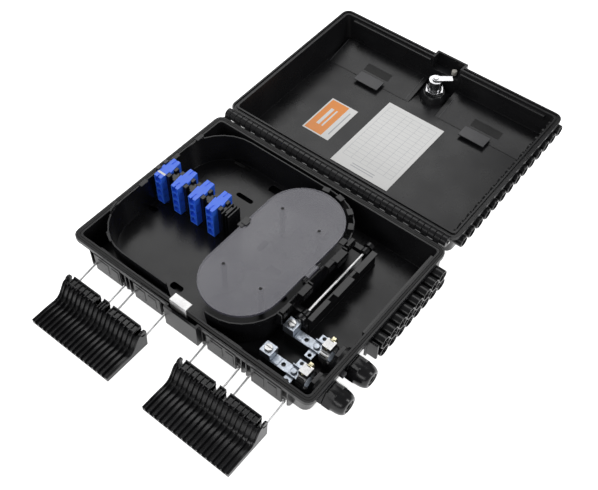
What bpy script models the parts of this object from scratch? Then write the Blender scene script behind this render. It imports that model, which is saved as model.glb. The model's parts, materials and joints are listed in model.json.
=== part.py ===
"""Wall-mounted fiber termination box, lying open on its back.

All sizes below are millimetres; the helpers turn them into metres. The origin is the
centre of the underside of the base. X runs along the front, Y towards the hinge, +Z up.
Everything is drawn with the lid closed. Pieces that move hang from empties on their
joint axes, and the lid's empty turns the lid open until it rests on the ground.
"""
import math

import bmesh
import bpy
from mathutils import Vector

MM = 0.001

# ---- driving dimensions -------------------------------------------------------------
LENGTH = 290.0          # along X, over the rims
WIDTH = 214.0           # along Y, over the rims
BASE_H = 38.0           # underside to rim plane
LID_H = 39.8            # rim plane to outer face
RIM_GAP = 0.35          # between the closed rims
GAP = 0.3               # between pieces that touch

FRONT = -WIDTH / 2
BACK = WIDTH / 2
RIGHT = LENGTH / 2
LID_RIM = BASE_H + RIM_GAP
LID_TOP = LID_RIM + LID_H

RIM_W = 7.0             # rim flange, from its outer edge to the cavity
RIM_T = 5.0             # height of the flange
RIM_R = 9.0             # outer corner radius
OVERHANG = 5.0          # flange beyond the wall
DRAFT = 9.0             # wall foot inside the flange
EDGE = 1.5              # chamfer round the outer faces
WALL = 2.5
FLOOR = 4.0             # base floor
LID_FLOOR = 2.5
GROOVE_IN = 2.2         # gasket groove, from the outer edge
GROOVE_W = 2.6
GROOVE_D = 1.5

# hinge between base and lid
HINGE_OUT = 6.7         # axis behind the rim
HINGE_UP = 0.9          # axis above the base rim plane
HINGE_SLOTS = 40        # knuckles, base and lid in turn
HINGE_SPAN = LENGTH - 10.0
KNUCKLE_D = 11.5
KNUCKLE_GAP = 0.5
PIN_D = 3.0
PIN_PLAY = 0.35         # radial play of every pivot pin
LID_LIFT = 0.05         # open lid above the ground

# lock, strike and their housings
LOCK_X = 0.5
LOCK_BACK = 27.0        # lock axis behind the front rim
LOCK_D = 15.5
LOCK_END = 10.6         # barrel end above the lid rim plane
LOCK_AF = 20.0
BOSS_R = 16.0
BOSS_TOP_R = 12.5
BOSS_H = 9.5
CAM_T = 1.3
CAM_L = 19.0
CAM_W = 8.0
CAM_TURN = 39.0         # rest direction, from +X towards the front
STRIKE_X = -4.0
STRIKE_W = 20.0
STRIKE_T = 1.2
STRIKE_TOP = 12.3       # above the base rim plane
STRIKE_REACH = 8.6
HOUSING_W = 40.0        # base bump
HOUSING_OUT = 4.0
LID_HOUSING_OUT = 6.0
LID_HOUSING_H = 18.0

# splice tray
TRAY_SIDE = 8.5         # wall top inside the outer edge of the box, left side
TRAY_FRONT = 12.5
TRAY_BACK = 14.0
TRAY_L = 204.5
TRAY_R = 48.0
TRAY_DRAFT = 3.0
TRAY_T = 1.6
TRAY_FLOOR = 10.5       # floor top above the ground
TRAY_TOP = BASE_H + 5.0
TRAY_LEFT = -RIGHT + TRAY_SIDE
TRAY_RIGHT = TRAY_LEFT + TRAY_L
LOCK_OPENING = (-32.0, 15.0)
TRAY_AXIS = (TRAY_RIGHT + 13.0, TRAY_FLOOR + 17.5)
TRAY_ARMS = (FRONT + 76.0, BACK - 46.0)
ARM_W = 6.0
TRAY_PIN_END = 0.5      # pin ends outside the bracket's ears

# adapters
ADAPTER = (13.0, 28.3, 9.3)
ADAPTER_PITCH = 22.8
ADAPTER_RISE = 9.7
ADAPTER_X = TRAY_LEFT + 5.1     # left side of the first column
ADAPTER_Y = FRONT + 98.9
COLUMNS = 4
ROWS = 4
BRACKET_FOOT = 1.3        # plate under the adapters
BRACKET_D = 9.0

# splice cover
COVER_X = (TRAY_RIGHT - 91.0, TRAY_RIGHT - 7.0)
COVER_Y = (FRONT + 19.0, BACK - 23.0)
COVER_Z = (TRAY_TOP - 0.4, TRAY_TOP + 2.6)
COVER_T = 1.2
COVER_AXIS = (COVER_X[1] + 2.6, TRAY_TOP + 0.6)
COVER_PIN_D = 2.0
POST_X = (COVER_X[0] + 17.6, COVER_X[1] - 21.6)
POST_Y = (COVER_Y[0] + 43.0, COVER_Y[1] - 42.5)
POST_D = 6.0
SCREW_BORE = 2.6
TRAY_SLOTS = (          # tie slots: X span from the tray's left side, Y span, corner radius
    ((30.5, 52.5), (82, 86.5), 2.0), ((62.5, 83.5), (48.5, 53.5), 2.4),
    ((83.5, 102.5), (75, 84), 2.5), ((89.5, 103.5), (-79, -72), 2.5),
    ((4.5, 15.5), (-22, -16), 2.9), ((148.5, 162.5), (-8, 2), 2.0),
    ((166.5, 172), (58, 74), 2.6), ((124.5, 130.5), (8, 22), 2.6), ((174.5, 186.5), (-26, -18), 2.0))

# cable entries in the right wall
PORT_ROWS = (BASE_H - 24.6, BASE_H - 11.7)
PORT_COUNT = 8
PORT_PITCH = 13.4
PORT_FIRST = BACK - 116.0
PORT_D = 12.8
PORT_BORE = 9.6
PORT_TIP = RIGHT + 10.0
PORT_FACE = RIGHT - 4.6
PORT_WINDOW_Y = (PORT_FIRST - 8.0, PORT_FIRST + 104.5)
PORT_WINDOW_Z = (BASE_H - 32.0, BASE_H - RIM_T)
GLAND_Y = (FRONT + 63.0, FRONT + 29.0)
GLAND_Z = BASE_H - 18.0
GLAND_D = 16.0
GLAND_BORE = 9.0
GLAND_AF = 24.0
GLAND_FACE = RIGHT - 5.0        # outer face of the wall boss
GLAND_INNER = RIGHT - 12.0
GLAND_TIP = RIGHT + 21.0

# cable clamps
CLAMP_Y = (GLAND_Y[0] - 3.0, GLAND_Y[1] - 2.0)
CLAMP_X = (RIGHT - 74.0, RIGHT - 19.5)
CLAMP_W = 10.0
CLAMP_Z = GLAND_Z - 4.0
CLAMP_T = 1.5
BAND_X = RIGHT - 25.0
BAND_D = 20.0
BAND_W = 9.0
BAND_T = 1.0

# draw latches
LATCH_X = 71.5          # latch centres either side of the middle
WIRE_D = 2.2
WIRE_PLAY = 0.45
LEG_OUT = 46.0
LEG_IN = 6.0
BAIL_Y = 2.0            # bail pivot behind the front rim edge
BAIL_Z = 14.0
HANDLE_Y = -29.5        # handle pivot in front of the front rim edge
HANDLE_Z = 7.2
HANDLE_W = 100.0
HANDLE_REACH = 49.0
HANDLE_PLATE = 4.0
HANDLE_LIP = 17.0
RIB_COUNT = 17
RIB_PITCH = 5.6
RIB_W = 1.6
LEG_SLOT = 5.0

# labels and plug inside the lid
LABEL = (74.0, 112.0, 0.4)
LABEL_AT = (4.0, 15.0)
TAB = (32.0, 16.0, 1.2)
TAB_Y = -52.0
PLUG_D = 6.0
PLUG_X = 9.8

HINGE_Y = BACK + HINGE_OUT
HINGE_Z = BASE_H + HINGE_UP
LOCK_Y = FRONT + LOCK_BACK


# ---- meshes -------------------------------------------------------------------------
def loft(rings, closed=False):
    """Skin rings of equally many points; capped ends, or closed into a loop."""
    bm = bmesh.new()
    loops = [[bm.verts.new(Vector(point)) for point in ring] for ring in rings]
    pairs = list(zip(loops, loops[1:]))
    if closed:
        pairs.append((loops[-1], loops[0]))
    for low, high in pairs:
        for i in range(len(low)):
            j = (i + 1) % len(low)
            bm.faces.new((low[i], low[j], high[j], high[i]))
    if not closed:
        bm.faces.new(list(reversed(loops[0])))
        bm.faces.new(loops[-1])
    bmesh.ops.recalc_face_normals(bm, faces=bm.faces)
    return bm


def rounded(x, y, z, radius, steps=4):
    """One ring: a rectangle x[0]..x[1] by y[0]..y[1] with round corners at height z."""
    centres = (
        (x[1] - radius, y[0] + radius, -90), (x[1] - radius, y[1] - radius, 0),
        (x[0] + radius, y[1] - radius, 90), (x[0] + radius, y[0] + radius, 180))
    ring = []
    for cx, cy, start in centres:
        for k in range(steps + 1):
            angle = math.radians(start + 90 * k / steps)
            ring.append((cx + radius * math.cos(angle), cy + radius * math.sin(angle), z))
    return ring


def box(x, y, z):
    corners = ((x[0], y[0]), (x[1], y[0]), (x[1], y[1]), (x[0], y[1]))
    return loft([[(cx, cy, cz) for cx, cy in corners] for cz in z])


def prism_x(profile, x):
    """Extrude a (y, z) outline along X."""
    return loft([[(cx, py, pz) for py, pz in profile] for cx in x])


def turn(axis, at, radius, along, sides, hexagon=False):
    """A ring of points round an axis; a hexagon keeps its flats radius away."""
    ring = []
    for k in range(sides):
        angle = 2 * math.pi * k / sides
        reach = radius
        if hexagon:
            off = angle % (math.pi / 3) - math.pi / 6
            reach = radius / math.cos(off)
        a = reach * math.cos(angle)
        b = reach * math.sin(angle)
        if axis == "X":
            ring.append((along, at[0] + a, at[1] + b))
        elif axis == "Y":
            ring.append((at[0] + a, along, at[1] + b))
        else:
            ring.append((at[0] + a, at[1] + b, along))
    return ring


def cylinder(axis, at, diameter, span, sides=12):
    return loft([turn(axis, at, diameter / 2, along, sides) for along in span])


def sleeve(axis, at, sections, sides=12):
    """A turned piece with a bore: sections (along, radius, is_hexagon) form a loop."""
    rings = [turn(axis, at, radius, along, sides, hexed) for along, radius, hexed in sections]
    return loft(rings, closed=True)


# ---- objects ------------------------------------------------------------------------
def finish(name, color, roughness, metallic=0.0, alpha=1.0):
    """A plain material in the part's own colour."""
    material = bpy.data.materials.new(name)
    material.use_nodes = True
    shader = material.node_tree.nodes["Principled BSDF"]
    shader.inputs["Base Color"].default_value = (*color, 1.0)
    shader.inputs["Roughness"].default_value = roughness
    shader.inputs["Metallic"].default_value = metallic
    shader.inputs["Alpha"].default_value = alpha
    return material


def pivot(name, at, parent=None, turn_x=0.0):
    """An empty on a joint axis, drawn where the closed box has it."""
    empty = bpy.data.objects.new(name, None)
    bpy.context.collection.objects.link(empty)
    empty["drawn_at"] = list(at)
    start = Vector(parent["drawn_at"]) if parent else Vector()
    empty.parent = parent
    empty.location = (Vector(at) - start) * MM
    empty.rotation_euler.x = turn_x
    return empty


def hang(obj, parent):
    """Parent an object drawn in place to an empty, without moving the drawing."""
    if parent:
        obj.parent = parent
        obj.location = -Vector(parent["drawn_at"]) * MM


def solid(name, bm, material, parent=None, smooth=35):
    """Turn a mesh in millimetres into a named object in metres."""
    bmesh.ops.scale(bm, vec=(MM, MM, MM), verts=bm.verts)
    mesh = bpy.data.meshes.new(name)
    bm.to_mesh(mesh)
    bm.free()
    mesh.materials.append(material)
    mesh.shade_smooth()
    mesh.set_sharp_from_angle(angle=math.radians(smooth))
    obj = bpy.data.objects.new(name, mesh)
    bpy.context.collection.objects.link(obj)
    hang(obj, parent)
    return obj


def shape(obj, meshes, operation):
    """Join or cut an object with helper solids, which stay hidden guides."""
    label = obj.name + "_" + operation.lower()
    guides = bpy.data.collections.new(label)
    bpy.context.scene.collection.children.link(guides)
    for bm in meshes:
        guide = solid(label, bm, obj.data.materials[0], obj.parent)
        bpy.context.collection.objects.unlink(guide)
        guides.objects.link(guide)
        guide.hide_render = True
        guide.display_type = "WIRE"
    modifier = obj.modifiers.new(label, "BOOLEAN")
    modifier.operation = operation
    modifier.operand_type = "COLLECTION"
    modifier.collection = guides
    modifier.solver = "EXACT"


# ---- base and lid shells ------------------------------------------------------------
def shell_rings(depth, floor, rim, sign):
    """Rings of one half: outer face, wall, flange, groove, inner wall, inner floor."""
    far = rim - sign * depth
    rows = (
        (DRAFT + EDGE, far, RIM_R - 2), (DRAFT, far + sign * EDGE, RIM_R - 1),
        (OVERHANG, rim - sign * RIM_T, RIM_R - 1), (0, rim - sign * RIM_T, RIM_R),
        (0, rim, RIM_R), (GROOVE_IN, rim, RIM_R - GROOVE_IN),
        (GROOVE_IN, rim - sign * GROOVE_D, RIM_R - GROOVE_IN),
        (GROOVE_IN + GROOVE_W, rim - sign * GROOVE_D, RIM_R - GROOVE_IN - GROOVE_W),
        (GROOVE_IN + GROOVE_W, rim, RIM_R - GROOVE_IN - GROOVE_W),
        (RIM_W, rim, 4.0), (DRAFT + WALL, far + sign * floor, 6.0))
    rings = []
    for inset, z, radius in rows:
        x = (-LENGTH / 2 + inset, LENGTH / 2 - inset)
        y = (-WIDTH / 2 + inset, WIDTH / 2 - inset)
        rings.append(rounded(x, y, z, radius))
    return rings


def knuckles(first, z):
    """Every second knuckle of the hinge, each with its web to the rim."""
    pitch = HINGE_SPAN / HINGE_SLOTS
    parts = []
    for slot in range(first, HINGE_SLOTS, 2):
        start = -HINGE_SPAN / 2 + slot * pitch
        x = (start + KNUCKLE_GAP / 2, start + pitch - KNUCKLE_GAP / 2)
        parts.append(cylinder("X", (HINGE_Y, HINGE_Z), KNUCKLE_D, x, 12))
        parts.append(box(x, (BACK - OVERHANG / 2, HINGE_Y), z))
    return parts


def pin_bore():
    reach = HINGE_SPAN / 2 + 5
    return cylinder("X", (HINGE_Y, HINGE_Z), PIN_D + 2 * PIN_PLAY, (-reach, reach), 8)


def latch_centres():
    return (-LATCH_X, LATCH_X)


def make_base(plastic):
    base = solid("base_shell", loft(shell_rings(BASE_H, FLOOR, BASE_H, 1)), plastic)
    half = HOUSING_W / 2
    adds = knuckles(0, (BASE_H - RIM_T + 0.5, BASE_H - 0.2))
    front = FRONT - HOUSING_OUT
    adds.append(box((-half, half), (front, FRONT + GROOVE_IN - GAP), (10, BASE_H)))
    adds.append(box((-half, half), (front + 1, FRONT + RIM_W), (11, BASE_H - RIM_T + 1)))
    for centre in latch_centres():
        for side in (-1, 1):
            ends = sorted((centre + side * (LEG_IN + 3), centre + side * (LEG_OUT - 3)))
            lug = (FRONT + BAIL_Y - 2.6, FRONT + DRAFT + 1)
            adds.append(box(ends, lug, (BAIL_Z - 4, BASE_H - RIM_T + 0.5)))
    for y in GLAND_Y:
        adds.append(cylinder("X", (y, GLAND_Z), GLAND_AF + 2, (GLAND_INNER, GLAND_FACE), 16))
    for y in CLAMP_Y:
        foot = (y - CLAMP_W / 2, y + CLAMP_W / 2)
        adds.append(box((CLAMP_X[0] + 2, BAND_X - BAND_W), foot, (FLOOR - 1, CLAMP_Z - GAP)))
    cuts = [pin_bore()]
    pocket = (FRONT - HOUSING_OUT + WALL, FRONT + GROOVE_IN - 0.4)
    cuts.append(box((-half + 3, half - 3), pocket, (14, BASE_H + 2)))
    cuts.append(box((RIGHT - 25, RIGHT + 5), PORT_WINDOW_Y, PORT_WINDOW_Z))
    for y in GLAND_Y:
        reach = (GLAND_INNER - 5, GLAND_FACE + 5)
        cuts.append(cylinder("X", (y, GLAND_Z), GLAND_D + 2 * GAP, reach, 16))
    for centre in latch_centres():
        for offset in (-LEG_OUT, -LEG_IN, LEG_IN, LEG_OUT):
            inward = 1 if offset in (-LEG_OUT, LEG_IN) else -1
            ends = sorted((centre + offset, centre + offset + inward * 9.5))
            bore = WIRE_D + 2 * WIRE_PLAY
            cuts.append(cylinder("X", (FRONT + BAIL_Y, BAIL_Z), bore, ends, 8))
    shape(base, adds, "UNION")
    shape(base, cuts, "DIFFERENCE")


def recess_outline(start, front, skin, top):
    """Sloping seat for a latch handle, as a (y, z) outline under the lid's outer face."""
    end = FRONT + 13
    return (
        (start, top), (start, LID_TOP - skin), (end, LID_TOP - 8 - skin),
        (front, LID_TOP - 8 - skin), (front, top))


def make_lid(plastic, hinge):
    rings = shell_rings(LID_H, LID_FLOOR, LID_RIM, -1)
    lid = solid("lid_shell", loft(rings), plastic, hinge)
    half = HOUSING_W / 2
    adds = knuckles(1, (LID_RIM + 0.2, LID_RIM + RIM_T - 0.5))
    bump = (FRONT - LID_HOUSING_OUT, FRONT + RIM_W)
    adds.append(box((1 - half, 1 + half), bump, (LID_RIM, LID_RIM + LID_HOUSING_H)))
    inner = LID_TOP - LID_FLOOR
    boss = [turn("Z", (LOCK_X, LOCK_Y), radius, z, 20) for radius, z in (
        (BOSS_R, inner + 1), (BOSS_R, inner - 2), (BOSS_TOP_R + 1.5, inner - BOSS_H + 2.5),
        (BOSS_TOP_R, inner - BOSS_H))]
    adds.append(loft(boss))
    cuts = [pin_bore()]
    for side in (-1, 1):
        seat = sorted((side * 20.5 + 1, side * 127.5))
        skin = recess_outline(FRONT + 52, FRONT + 9.5, 2.6, LID_TOP - 1)
        adds.append(prism_x(skin, (seat[0] - 2.5, seat[1] + 2.5)))
        cuts.append(prism_x(recess_outline(FRONT + 49, FRONT - 5, 0, LID_TOP + 1), seat))
        strip = sorted((side * 20 + 1, side * 127))
        adds.append(box(strip, (FRONT + RIM_W - 1, FRONT + 11), (LID_RIM + 3, LID_RIM + 8)))
    pocket = (FRONT - LID_HOUSING_OUT + WALL, FRONT + 11)
    cuts.append(box((4 - half, half - 2), pocket, (LID_RIM - 1, LID_RIM + 15)))
    cuts.append(cylinder("Z", (LOCK_X, LOCK_Y), LOCK_D + 2 * GAP, (LID_RIM, LID_TOP + 1), 20))
    shape(lid, adds, "UNION")
    shape(lid, cuts, "DIFFERENCE")


def make_rim_parts(rubber, steel):
    inset = GROOVE_IN + GAP
    width = GROOVE_W - 2 * GAP
    low = BASE_H - GROOVE_D + GAP
    rings = []
    for side, z in ((inset, low), (inset, BASE_H), (inset + width, BASE_H), (inset + width, low)):
        x = (-LENGTH / 2 + side, LENGTH / 2 - side)
        y = (-WIDTH / 2 + side, WIDTH / 2 - side)
        rings.append(rounded(x, y, z, RIM_R - side))
    solid("base_gasket", loft(rings, closed=True), rubber)
    reach = HINGE_SPAN / 2 + 1
    solid("hinge_pin", cylinder("X", (HINGE_Y, HINGE_Z), PIN_D, (-reach, reach), 10), steel)
    face = FRONT - 0.4
    top = BASE_H + STRIKE_TOP
    outline = (
        (face, 16), (face + STRIKE_T, 16), (face + STRIKE_T, top - STRIKE_T),
        (face + STRIKE_REACH, top - STRIKE_T), (face + STRIKE_REACH, top), (face, top))
    x = (STRIKE_X - STRIKE_W / 2, STRIKE_X + STRIKE_W / 2)
    solid("strike_plate", prism_x(outline, x), steel)


# ---- cable entries ------------------------------------------------------------------
def port_places():
    for z in PORT_ROWS:
        for k in range(PORT_COUNT):
            yield PORT_FIRST + k * PORT_PITCH, z


def make_ports(plastic, rubber):
    y = (PORT_WINDOW_Y[0] + GAP, PORT_WINDOW_Y[1] - GAP)
    z = (PORT_WINDOW_Z[0] + GAP, PORT_WINDOW_Z[1] - GAP)
    block = solid("drop_port_block", box((RIGHT - 15, PORT_FACE + 1), y, z), plastic)
    adds = [cylinder("X", at, PORT_D, (PORT_FACE - 1, PORT_TIP), 12) for at in port_places()]
    adds.append(box((PORT_FACE, PORT_FACE + 2.5), (y[0] - 4, y[1] + 3), (z[0] - 0.5, z[1] - 0.2)))
    adds.append(box((PORT_FACE, PORT_TIP - 1), (y[0] - 4, y[0] - 1.5), (z[0] + 2, z[1] - 0.5)))
    reach = (RIGHT - 20, PORT_TIP + 5)
    cuts = [cylinder("X", at, PORT_BORE, reach, 8) for at in port_places()]
    shape(block, adds, "UNION")
    shape(block, cuts, "DIFFERENCE")
    back = RIGHT - 15 - GAP
    strip = solid("port_seal_strip", box((back - 3, back), (y[0] + 1, y[1] - 1), z), rubber)
    studs = []
    for at in port_places():
        studs.append(cylinder("X", at, PORT_BORE - 1.4, (back - 1, RIGHT - 6), 8))
    shape(strip, studs, "UNION")


def make_gland(number, y, plastic, rubber):
    """A cable gland: body with collar, domed cap nut, rubber seal and lock nut."""
    at = (y, GLAND_Z)
    flats = GLAND_AF / 2
    thread = GLAND_D / 2
    bore = GLAND_BORE / 2
    collar = GLAND_FACE + GAP
    nut = collar + 4.7 + GAP
    name = "gland_%d_" % number
    solid(name + "body", sleeve("X", at, (
        (GLAND_INNER - 6, thread, False), (collar, thread, False), (collar, flats, True),
        (collar + 4.7, flats, True), (collar + 4.7, thread - 1, False),
        (nut + 10, thread - 1, False), (nut + 10, bore, False),
        (GLAND_INNER - 6, bore, False))), plastic)
    solid(name + "nut", sleeve("X", at, (
        (nut, flats, True), (nut + 10, flats, True), (nut + 13, flats - 1.5, False),
        (nut + 18, flats - 3.5, False), (GLAND_TIP, flats - 6, False),
        (GLAND_TIP, bore + 1, False), (nut + 15, bore + 1, False),
        (nut + 10 + GAP, thread - 1 + GAP, False), (nut, thread - 1 + GAP, False))), plastic)
    solid(name + "seal", sleeve("X", at, (
        (nut + 2, bore - GAP, False), (nut + 12, bore - GAP, False),
        (GLAND_TIP - 0.6, bore + 1 - GAP, False), (GLAND_TIP - 0.6, bore - 1.5, False),
        (nut + 2, bore - 1.5, False))), rubber)
    lock = GLAND_INNER - GAP
    solid(name + "locknut", sleeve("X", at, (
        (lock - 4, flats - 1, True), (lock, flats - 1, True),
        (lock, thread + GAP, False), (lock - 4, thread + GAP, False))), plastic)


def make_clamp(number, y, zinc, steel):
    """A strain clamp: plate on its foot, terminal block with screw, worm-drive band."""
    name = "clamp_%d_" % number
    half = CLAMP_W / 2
    top = CLAMP_Z + CLAMP_T
    plate = solid(name + "plate", box(CLAMP_X, (y - half, y + half), (CLAMP_Z, top)), zinc)
    ears = box((BAND_X - 17, BAND_X - 9), (y - 14, y + 14), (CLAMP_Z, top))
    shape(plate, [ears], "UNION")
    holes = [cylinder("Z", (CLAMP_X[0] + 24, y), 4.5, (CLAMP_Z - 2, top + 2), 10)]
    for side in (-11, 11):
        holes.append(cylinder("Z", (BAND_X - 13, y + side), 4, (CLAMP_Z - 2, top + 2), 8))
    shape(plate, holes, "DIFFERENCE")
    block_x = (CLAMP_X[0] + 1, CLAMP_X[0] + 13)
    block_z = (top + GAP, top + 10)
    block = solid(name + "block", box(block_x, (y - 6, y + 6), block_z), zinc)
    screw_at = (CLAMP_X[0] + 7, y)
    shape(block, [
        cylinder("Z", screw_at, 4.6, (top + 3, top + 12), 8),
        cylinder("X", (y, top + 3.2), 3, (CLAMP_X[0], CLAMP_X[0] + 5.5), 8)], "DIFFERENCE")
    solid(name + "screw", loft([
        turn("Z", screw_at, radius, z, 10) for radius, z in (
            (1.9, top + 4), (1.9, block_z[1] + GAP), (3.4, block_z[1] + GAP),
            (3.4, block_z[1] + 2.2))]), steel)
    at = (y, top + 3.2)
    outer = BAND_D / 2
    band = solid(name + "band", sleeve("X", at, (
        (BAND_X - BAND_W / 2, outer, False), (BAND_X + BAND_W / 2, outer, False),
        (BAND_X + BAND_W / 2, outer - BAND_T, False),
        (BAND_X - BAND_W / 2, outer - BAND_T, False)), 20), steel)
    worm_z = at[1] + outer + 2.4
    cell = box((BAND_X - 4.8, BAND_X + 4.8), (y - 5, y + 5), (at[1] + outer - 0.8, worm_z + 3))
    shape(band, [cell], "UNION")
    shape(band, [cylinder("Y", (BAND_X, worm_z), 4, (y - 7, y + 7), 8)], "DIFFERENCE")
    worm = [turn("Y", (BAND_X, worm_z), radius, along, 12, hexed) for radius, along, hexed in (
        (1.6, y - 5.5, False), (1.6, y + 5.5, False), (3.2, y + 5.5, True), (3.2, y + 9, True))]
    solid(name + "worm", loft(worm), steel)


# ---- splice tray --------------------------------------------------------------------
def make_tray(plastic, hinge):
    x = (TRAY_LEFT, TRAY_RIGHT)
    y = (FRONT + TRAY_FRONT, BACK - TRAY_BACK)
    rings = []
    for inset, z in (
            (TRAY_DRAFT, TRAY_FLOOR - TRAY_T), (0, TRAY_TOP), (TRAY_T, TRAY_TOP),
            (TRAY_DRAFT + TRAY_T, TRAY_FLOOR)):
        rings.append(rounded(
            (x[0] + inset, x[1] - inset), (y[0] + inset, y[1] - inset), z, TRAY_R - inset, 7))
    tray = solid("splice_tray", loft(rings), plastic, hinge)
    axis_x, axis_z = TRAY_AXIS
    adds = []
    for arm in TRAY_ARMS:
        span = (arm - ARM_W / 2, arm + ARM_W / 2)
        adds.append(cylinder("Y", TRAY_AXIS, 9, span, 12))
        adds.append(box((TRAY_RIGHT - 5.2, axis_x), span, (axis_z - 3, axis_z + 3)))
    for post_x in POST_X:
        for post_y in POST_Y:
            ends = (TRAY_FLOOR - 0.5, COVER_Z[1] - COVER_T - GAP)
            adds.append(cylinder("Z", (post_x, post_y), POST_D, ends, 10))
    lug_x = (COVER_AXIS[0] - 1, TRAY_RIGHT - 0.5)
    for side in (-1, 1):
        lug_y = sorted((side * 8.4, side * 13))
        adds.append(box(lug_x, lug_y, (COVER_AXIS[1] - 6, COVER_AXIS[1])))
        adds.append(cylinder("Y", COVER_AXIS, 4.4, lug_y, 12))
    cuts = [cylinder("Y", TRAY_AXIS, PIN_D + 2 * PIN_PLAY, (FRONT, BACK), 8)]
    cuts.append(cylinder("Y", COVER_AXIS, COVER_PIN_D + 2 * PIN_PLAY, (-15, 15), 8))
    opening = (FRONT + TRAY_FRONT - 1, FRONT + TRAY_FRONT + 6)
    cuts.append(box(LOCK_OPENING, opening, (TRAY_FLOOR + 1, TRAY_TOP + 1)))
    for (left, right), y, radius in TRAY_SLOTS:
        x = (TRAY_LEFT + left, TRAY_LEFT + right)
        span = (TRAY_FLOOR - 4, TRAY_FLOOR + 2)
        cuts.append(loft([rounded(x, y, z, radius, 3) for z in span]))
    for post_x in POST_X:
        for post_y in POST_Y:
            bore = (TRAY_FLOOR + 10, COVER_Z[1])
            cuts.append(cylinder("Z", (post_x, post_y), SCREW_BORE, bore, 8))
    shape(tray, adds, "UNION")
    shape(tray, cuts, "DIFFERENCE")


def make_tray_hinge(steel, plastic):
    axis_x, axis_z = TRAY_AXIS
    ends = (TRAY_ARMS[0] - 9, TRAY_ARMS[1] + 9)
    foot = box((axis_x - 8, axis_x + 8), ends, (FLOOR + GAP, FLOOR + GAP + 2.5))
    bracket = solid("tray_hinge_bracket", foot, plastic)
    adds = []
    for start in (ends[0], ends[1] - 4):
        ear = (start, start + 4)
        adds.append(box((axis_x - 4.5, axis_x + 4.5), ear, (FLOOR + 1, axis_z)))
        adds.append(cylinder("Y", TRAY_AXIS, 9, ear, 12))
    shape(bracket, adds, "UNION")
    shape(bracket, [cylinder("Y", TRAY_AXIS, PIN_D + 2 * PIN_PLAY, (FRONT, BACK), 8)], "DIFFERENCE")
    pin = (ends[0] - TRAY_PIN_END, ends[1] + TRAY_PIN_END)
    solid("tray_hinge_pin", cylinder("Y", TRAY_AXIS, PIN_D, pin, 10), steel)


def make_adapters(blue, black, hinge):
    wide, deep, tall = ADAPTER
    for column in range(COLUMNS):
        left = ADAPTER_X + column * ADAPTER_PITCH
        for row in range(ROWS):
            low = TRAY_FLOOR + BRACKET_FOOT + GAP + row * ADAPTER_RISE
            body = box((left, left + wide), (ADAPTER_Y, ADAPTER_Y + deep), (low, low + tall))
            name = "adapter_%d_%d" % (column + 1, row + 1)
            adapter = solid(name, body, blue, hinge)
            mouths = []
            back = ADAPTER_Y + deep
            for mouth in ((ADAPTER_Y - 1, ADAPTER_Y + 10), (back - 10, back + 1)):
                inside = (left + 2, left + wide - 2)
                mouths.append(box(inside, mouth, (low + 1.3, low + tall - 1.3)))
            shape(adapter, mouths, "DIFFERENCE")
    middle = ADAPTER_Y + deep / 2
    gap = ADAPTER_PITCH - wide
    right = ADAPTER_X + COLUMNS * ADAPTER_PITCH
    foot = box((ADAPTER_X + 1, right), (middle - 10, middle + 10),
               (TRAY_FLOOR + GAP, TRAY_FLOOR + BRACKET_FOOT))
    bracket = solid("adapter_bracket", foot, black, hinge)
    top = TRAY_FLOOR + ROWS * ADAPTER_RISE - 2
    posts = []
    for column in range(COLUMNS):
        left = ADAPTER_X + column * ADAPTER_PITCH + wide
        depth = (middle - BRACKET_D / 2, middle + BRACKET_D / 2)
        posts.append(box((left + GAP, left + gap - GAP), depth, (TRAY_FLOOR + 1, top)))
    shape(bracket, posts, "UNION")


def make_cover(clear, steel, tray_hinge, cover_hinge):
    radius = (COVER_X[1] - COVER_X[0]) / 2 - 0.01

    def slab(inset, z):
        x = (COVER_X[0] + inset, COVER_X[1] - inset)
        y = (COVER_Y[0] + inset, COVER_Y[1] - inset)
        return loft([rounded(x, y, level, radius - inset, 7) for level in z])

    cover = solid("splice_cover", slab(0, COVER_Z), clear, cover_hinge)
    hollow = slab(COVER_T, (COVER_Z[0] - 1, COVER_Z[1] - COVER_T))
    shape(cover, [hollow], "DIFFERENCE")
    axis_x, axis_z = COVER_AXIS
    ear = box((COVER_X[1] - 0.9, axis_x + 1), (-8, 8), (axis_z - 1.0, axis_z + 2))
    shape(cover, [ear, cylinder("Y", COVER_AXIS, 4, (-8, 8), 10)], "UNION")
    bore = cylinder("Y", COVER_AXIS, COVER_PIN_D + 2 * PIN_PLAY, (-10, 10), 8)
    shape(cover, [bore], "DIFFERENCE")
    solid("cover_hinge_pin", cylinder("Y", COVER_AXIS, COVER_PIN_D, (-13.4, 13.4), 8),
          steel, tray_hinge)


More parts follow.
